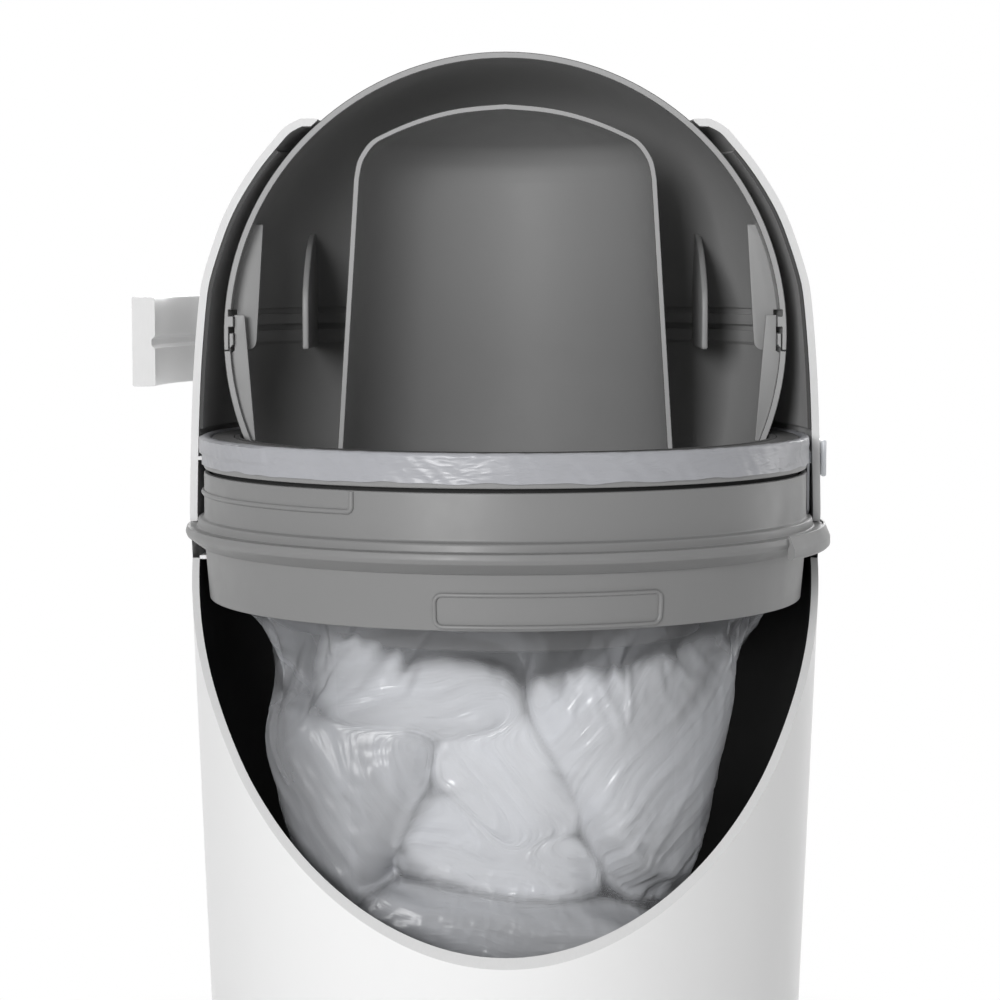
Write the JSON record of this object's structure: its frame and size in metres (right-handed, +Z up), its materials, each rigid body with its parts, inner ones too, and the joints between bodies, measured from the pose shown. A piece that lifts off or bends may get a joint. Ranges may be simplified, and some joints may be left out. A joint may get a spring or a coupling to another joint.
{
  "type": "nappy bin",
  "caption": "Sectioned nappy bin with a turn-over drum, swinging handle, lift-off head, collar with liner bag, and a tapered pail with a cut-away front.",
  "frame": {"origin": "centre of the pail's flat base", "axes": "+Z up through the pail's centre, +Y from the open cut-away front towards the handle's hub, +X to the right, the side of the lock"},
  "size_m": [0.3321, 0.3296, 0.64],
  "materials": {
    "white_shell": "glossy moulded white plastic",
    "grey_moulding": "satin mid-grey moulded plastic",
    "mid_grey_moulding": "satin darker grey moulded plastic",
    "dark_moulding": "satin dark grey moulded plastic",
    "seal_rubber": "soft black rubber",
    "bag_film": "crinkled translucent film",
    "steel": "plain zinc-plated steel"
  },
  "bodies": {
    "pail": {"pail_body": "white_shell", "collar": "grey_moulding", "bag_ring": "grey_moulding", "throat_funnel": "mid_grey_moulding", "drum_seal": "seal_rubber", "liner_bag": "bag_film"},
    "head": {"head_shell": "white_shell", "head_liner": "dark_moulding", "pivot_bush": "mid_grey_moulding", "bush_screw_1": "steel", "bush_screw_2": "steel"},
    "lock": {"lock_slider": "white_shell"},
    "drum": {"drum_dome": "dark_moulding", "drum_bowl": "dark_moulding", "drum_cup": "dark_moulding", "drum_axle": "steel", "stop_washer": "steel", "handle": "white_shell", "handle_screw": "steel", "hub_cap": "white_shell"}
  },
  "joints": [
    {"name": "head_lift", "type": "slide", "parent": "pail", "child": "head", "axis": [0, 0, 1], "range_m": [0, 0.12]},
    {"name": "drum_flip", "type": "hinge", "parent": "head", "child": "drum", "pos_m": [0, 0, 0.506], "axis": [0, 1, 0], "range_deg": [0, 180]},
    {"name": "lock_turn", "type": "hinge", "parent": "head", "child": "lock", "pos_m": [0, 0, 0.45], "axis": [0, 0, 1], "range_deg": [0, 3.15]}
  ]
}
